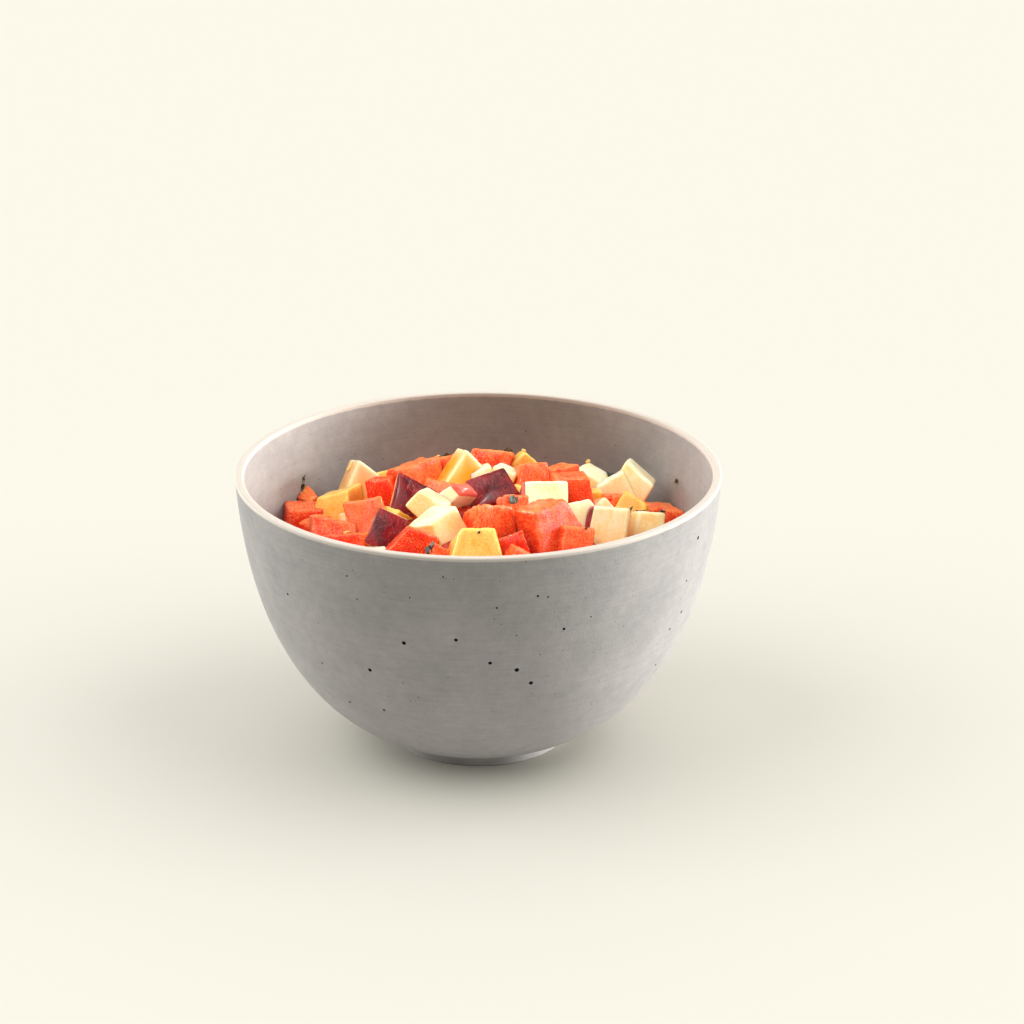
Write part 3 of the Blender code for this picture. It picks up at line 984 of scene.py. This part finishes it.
@dataclass
class Scatter:
    """Mint shreds and pips lying on the fruit, each a thin ball that is bent and crinkled."""

    bowl: ConcreteBowl
    fruit: list[Surface]
    more: int = 44
    seed: int = 31
    thickness: float = 0.9
    wall_gap: float = 0.0002

    def resting(self, bit: Bit, tree: BVHTree) -> tuple[Array, Array]:
        """Find where a bit lies and which way is out of the surface there.

        Args:
            bit: the bit.
            tree: the fruit's faces.

        Returns:
            The place in metres and the unit vector out of the surface.
        """
        if bit.height is not None:
            angle = math.atan2(bit.y, bit.x)
            reach = float(self.bowl.inside_radius(np.array(bit.height * MM)))
            out = np.array([-math.cos(angle), -math.sin(angle), 0.25])
            place = np.array([reach * math.cos(angle), reach * math.sin(angle), bit.height * MM])
            return place, out / np.linalg.norm(out)
        above = Vector((bit.x * MM, bit.y * MM, self.bowl.height))
        hit, normal, _, _ = tree.ray_cast(above, Vector((0, 0, -1)))
        if hit is None:
            hit, normal, _, _ = tree.find_nearest(above)
        return np.array(hit), np.array(normal)

    def surface(self, bit: Bit, number: int, tree: BVHTree) -> Surface:
        """Shape one bit: a ball drawn out to its length, width and thickness, curling off at its ends.

        Args:
            bit: the bit.
            number: its place in the list, for its own crinkles.
            tree: the fruit's faces.

        Returns:
            The bit's surface in metres.
        """
        arc = np.linspace(0, math.pi, 13)
        ball = turned_surface(np.sin(arc) ** 0.7, np.cos(arc), 14)
        thick = self.thickness * (1.6 if bit.scrap is Scrap.PIP else 0.5)
        size = np.array([bit.width, thick, bit.length]) / 2
        local = ball.points * size
        flat = np.column_stack([local[:, 0], 0 * local[:, 1], local[:, 2]]) + 37.0 * number
        if bit.scrap is Scrap.MINT:
            along = np.column_stack([0 * flat[:, 0], 0 * flat[:, 0], flat[:, 2]])
            local[:, 0] = local[:, 0] * (1 + 0.45 * ripple(along, 1.7, 43, 2)) + 0.5 * ripple(along, 3.0, 47)
            local[:, 1] += 0.9 * ripple(flat, 2.2, 41, 2)
        local[:, 1] += bit.bend * (ball.points[:, 2] ** 2 - 0.3)
        place, out = self.resting(bit, tree)
        level = np.cross([0, 0, 1.0], out)
        level = level / np.linalg.norm(level) if np.linalg.norm(level) > 1e-3 else np.array([1.0, 0, 0])
        steep = np.cross(out, level)
        lay = math.radians(bit.lay)
        along = math.cos(lay) * level + math.sin(lay) * steep
        frame_axes = np.array([np.cross(out, along), out, along])
        points = place + (local @ frame_axes + out * (0.25 + thick / 4)) * MM
        points = self.bowl.keep_inside(points, self.wall_gap)
        quads = ball.quads if np.linalg.det(frame_axes) > 0 else ball.quads[:, ::-1]
        return Surface(points, quads, {"local": flat, "pale": np.full(len(points), bit.pale)})

    def build(self) -> list[bpy.types.Object]:
        """Lay the shown bits, and seeded ones over the rest of the heap.

        Returns:
            One object for the mint and one for the pips.
        """
        whole = Surface.joined(self.fruit)
        tree = BVHTree.FromPolygons(whole.points.tolist(), whole.quads.tolist())
        rng = np.random.default_rng(self.seed)
        bits = list(SHOWN_BITS)
        for i in range(self.more):
            radius, angle = 98 * math.sqrt(rng.random()), rng.uniform(0.6, math.pi - 0.6)
            x, y = radius * math.cos(angle), radius * math.sin(angle)
            lay, pale, size = rng.uniform(0, 180), rng.random(), rng.uniform(0.8, 1.3)
            if y < 62:
                continue
            if i % 2:
                bits.append(Bit(M, x, y, 6.5 * size, 3.6 * size, lay, 0.6 * pale))
            else:
                bits.append(Bit(P, x, y, 4.6 * size, 2.6 * size, lay, round(pale)))
        made = []
        for scrap, finish in ((M, MINT), (P, PIP)):
            kept = [self.surface(bit, i, tree) for i, bit in enumerate(bits) if bit.scrap is scrap]
            made.append(Surface.joined(kept).to_object(scrap.value, [finish.material()]))
        return made


@dataclass
class FruitHeap:
    """The heap: a core of pulp, the shown pieces, and more of them wherever the heap would be bare."""

    bowl: ConcreteBowl
    edge_depth: float = 0.043
    crown_depth: float = 0.013
    radius: float = 0.110
    power: float = 2.2
    fill_pitch: float = 0.0150
    fill_size: float = 0.0205
    fill_clearance: float = 0.0132
    near_clearance: float = 0.0175
    near_sink: float = 0.004
    front_line: float = -0.025
    front_sink: float = 0.006
    core_drop: float = 0.013
    core_gap: float = 0.0012
    core_bumps: float = 0.0028
    fill_seed: int = 11

    def top(self, x: Array, y: Array) -> Array:
        """Height of the heap's tops: rim height less crown + (edge - crown) (r / R)^power."""
        share = np.minimum(np.hypot(x, y) / self.radius, 1.0)
        return self.bowl.height - self.crown_depth - (self.edge_depth - self.crown_depth) * share**self.power

    def filling(self) -> list[Cut]:
        """Pieces on a sunflower spiral wherever the shown pieces leave the heap bare."""
        rng = np.random.default_rng(self.fill_seed)
        golden = math.pi * (3 - math.sqrt(5))
        count = int((self.radius / self.fill_pitch) ** 2 * math.pi)
        placed = [(c.x * MM, c.y * MM) for c in SHOWN_CUTS]
        filled = []
        kinds = [W, W, N, O, W, N]
        for i in range(count):
            radius = (self.radius - 0.010) * math.sqrt((i + 0.5) / count)
            nudge = rng.uniform(-0.002, 0.002, 2)
            x, y = radius * math.cos(i * golden) + nudge[0], radius * math.sin(i * golden) + nudge[1]
            size = self.fill_size / MM * rng.uniform(0.86, 1.14, 3)
            turn, tip, roll = rng.uniform(0, 360), rng.uniform(0, 32), rng.uniform(-30, 30)
            lift = rng.uniform(-0.003, 0.002)
            nearest = min(math.hypot(x - px, y - py) for px, py in placed)
            if nearest < self.fill_clearance:
                continue
            if nearest < self.near_clearance:
                lift -= self.near_sink
            if y < self.front_line:
                lift -= self.front_sink
            placed.append((x, y))
            top = (float(self.top(x, y)) + lift) / MM
            fruit = kinds[int(rng.integers(len(kinds)))]
            skin = Skin(int(rng.integers(6))) if fruit is N and rng.random() < 0.6 else Skin.NONE
            filled.append(Cut(fruit, x / MM, y / MM, top, *size, turn, tip, roll, skin=skin,
                              pale=rng.uniform(0.2, 0.8), shade_and_glow=rng.uniform(0.1, 0.5)))
        return filled

    def core(self) -> bpy.types.Object:
        """The pulp under the pieces: a turned mound, its top roughened by random relief."""
        edge = self.edge_depth + self.core_drop
        depth = self.bowl.body_depth - self.bowl.floor_wall
        down = np.linspace(edge, depth, 40)
        wall = self.bowl.curve(down, inner=True) - self.core_gap
        mound_r = np.linspace(0, wall[0] * 0.985, 44)
        mound_z = self.top(mound_r, 0 * mound_r) - self.core_drop
        mound_z[-1] = self.bowl.height - edge
        floor_z = self.bowl.height - depth + self.core_gap
        radii = np.concatenate([mound_r, wall[1:-1], [0]])
        heights = np.concatenate([mound_z, self.bowl.height - down[1:-1], [floor_z]])
        surface = turned_surface(radii, np.maximum(heights, floor_z), 160)
        bumps = ripple(surface.points / MM, 8.0, 21, 3) * self.core_bumps
        on_top = np.clip((surface.points[:, 2] - 0.078) / 0.012, 0, 1)
        surface.points[:, 2] += bumps * on_top
        return surface.to_object("fruit_core", [Pulp().material()])

    def build(self) -> list[bpy.types.Object]:
        """Build the core and the pieces, one object for each kind of fruit.

        Returns:
            The heap's objects.
        """
        fine, coarse = BlockGrid(16), BlockGrid(10)
        finishes = {
            Fruit.WATERMELON: [WATERMELON.material()],
            Fruit.ORANGE_MELON: [ORANGE_MELON.material()],
            Fruit.NECTARINE: [NECTARINE.material(), NectarineSkin().material()],
        }
        made: dict[Fruit, list[Surface]] = {fruit: [] for fruit in Fruit}
        for number, cut in enumerate(list(SHOWN_CUTS) + self.filling()):
            grid = fine if number < len(SHOWN_CUTS) else coarse
            made[cut.fruit].append(CutPiece(cut, number, grid).surface(self.bowl))
        pieces = [self.core()]
        every = [surface for surfaces in made.values() for surface in surfaces]
        for fruit, surfaces in made.items():
            pieces.append(Surface.joined(surfaces).to_object(fruit.value, finishes[fruit]))
        return pieces + Scatter(self.bowl, every).build()


# ---- The setting ----


class Lit(Enum):
    """What a lamp is shaded to light."""

    SALAD = "salad"
    FRUIT = "fruit"
    FLOOR = "board"


@dataclass(frozen=True)
class Lamp:
    """A wide soft light far away: where it stands, how wide it looks, how bright it makes a white card."""

    name: str
    lit: Lit
    azimuth_deg: float
    elevation_deg: float
    spread_deg: float
    strength: float

    def place(self, served: dict[Lit, bpy.types.Collection]) -> None:
        """Set up the lamp. Azimuth runs from the front (-Y) round to the right (+X).

        Args:
            served: the things that each kind of lamp lights.
        """
        lamp = bpy.data.lights.new(self.name, "SUN")
        lamp.energy = self.strength * math.pi
        lamp.angle = math.radians(self.spread_deg)
        light = bpy.data.objects.new(self.name, lamp)
        azimuth, elevation = math.radians(self.azimuth_deg), math.radians(self.elevation_deg)
        level = math.cos(elevation)
        towards = Vector((math.sin(azimuth) * level, -math.cos(azimuth) * level, math.sin(elevation)))
        light.rotation_euler = towards.to_track_quat("Z", "Y").to_euler()
        bpy.context.scene.collection.objects.link(light)
        light.light_linking.receiver_collection = served[self.lit]


LAMPS = (
    Lamp("key_low", Lit.SALAD, 104, 5, 24, 2.0),
    Lamp("key_high", Lit.SALAD, 98, 30, 40, 0.60),
    Lamp("left_low", Lit.SALAD, -120, 5, 34, 1.25),
    Lamp("left_high", Lit.SALAD, -110, 40, 45, 0.40),
    Lamp("overhead", Lit.SALAD, 0, 88, 60, 0.45),
    Lamp("fruit_front", Lit.FRUIT, -18, 42, 36, 0.22),
    Lamp("fruit_glint", Lit.FRUIT, -34, 46, 5, 0.20),
    Lamp("board_overhead", Lit.FLOOR, 0, 90, 130, 0.75),
    Lamp("board_right", Lit.FLOOR, 80, 40, 60, 0.44),
    Lamp("board_left", Lit.FLOOR, -80, 40, 60, 0.44),
)


@dataclass
class Studio:
    """A pale floor, soft lamps round the bowl and above it, and the camera."""

    floor_radius: float = 12.0
    floor_steps: int = 96
    floor_seen: str = "cccac0"
    floor_glow: str = "bcbbb7"
    surround: float = 0.30
    distance: float = 1.5
    pitch_deg: float = 20.987
    yaw_deg: float = 0.678
    aim_height: float = 0.1184
    lens_mm: float = 106.2

    def floor(self) -> bpy.types.Object:
        """A flat disc of pale matt board, which throws less light up at the bowl than its own tone would."""
        around = np.arange(self.floor_steps)
        angle = 2 * math.pi * around / self.floor_steps
        ring = np.column_stack([np.cos(angle), np.sin(angle), 0 * angle])
        points = np.vstack([ring * self.floor_radius, [[0, 0, 0]]])
        middle = np.full(self.floor_steps, self.floor_steps)
        fan = np.column_stack([around, np.roll(around, -1), middle, middle])
        material, tree, shader = new_material("pale_matt_board")
        seen = add(tree, "LightPath", output="Is Camera Ray")
        tones = {0: seen, 6: linear(self.floor_glow), 7: linear(self.floor_seen)}
        tone = add(tree, "Mix", tones, 2, data_type="RGBA")
        tree.links.new(tone, shader.inputs["Base Color"])
        shader.inputs["Roughness"].default_value = 1.0
        shader.inputs["Specular IOR Level"].default_value = 0.0
        board = Surface(points, fan).to_object("floor", [material])
        return board

    def surroundings(self) -> None:
        """A dim even glow from all round."""
        world = bpy.data.worlds.new("surround")
        world.use_nodes = True
        tree = world.node_tree
        tree.nodes.clear()
        glow = add(tree, "Background", {"Color": linear("fffcf2"), "Strength": self.surround})
        add(tree, "OutputWorld", {"Surface": glow})
        bpy.context.scene.world = world

    def camera(self) -> None:
        """A long lens looking down at the bowl from the front."""
        pitch, yaw = math.radians(self.pitch_deg), math.radians(self.yaw_deg)
        lens = bpy.data.cameras.new("camera")
        lens.lens = self.lens_mm
        lens.sensor_width = 36.0
        lens.clip_end = 100.0
        camera = bpy.data.objects.new("camera", lens)
        back, up = self.distance * math.cos(pitch), self.distance * math.sin(pitch)
        camera.location = (0, -back, self.aim_height + up)
        camera.rotation_euler = (math.pi / 2 - pitch, 0, -yaw)
        bpy.context.scene.collection.objects.link(camera)
        bpy.context.scene.camera = camera

    def build(self) -> None:
        """Set up the floor, the lights and the camera."""
        served = {lit: bpy.data.collections.new("lamps_on_" + lit.value) for lit in Lit}
        for piece in [o for o in bpy.context.scene.objects if o.type == "MESH"]:
            served[Lit.SALAD].objects.link(piece)
            if piece.name != "concrete_bowl":
                served[Lit.FRUIT].objects.link(piece)
        served[Lit.FLOOR].objects.link(self.floor())
        for lamp in LAMPS:
            lamp.place(served)
        self.surroundings()
        self.camera()
        bpy.context.scene.view_settings.view_transform = "Standard"


def hand_over(piece: bpy.types.Object, node: str) -> None:
    """Say which body a piece rides on and which solid it stands for.

    Args:
        piece: the new piece.
        node: the solid's name.
    """
    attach(piece, ROOT_BODY)
    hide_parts(node)
    LOG.info("%s: %d faces, stands for %s", piece.name, len(piece.data.polygons), node)


def main() -> None:
    """Build the bowl, its heap of fruit and the setting."""
    logging.basicConfig(level=logging.INFO, format="%(message)s")
    bowl = ConcreteBowl()
    hand_over(bowl.build(), "bowl")
    for piece in FruitHeap(bowl).build():
        hand_over(piece, "fruit_heap")
    Studio().build()


if __name__ == "__main__":
    main()
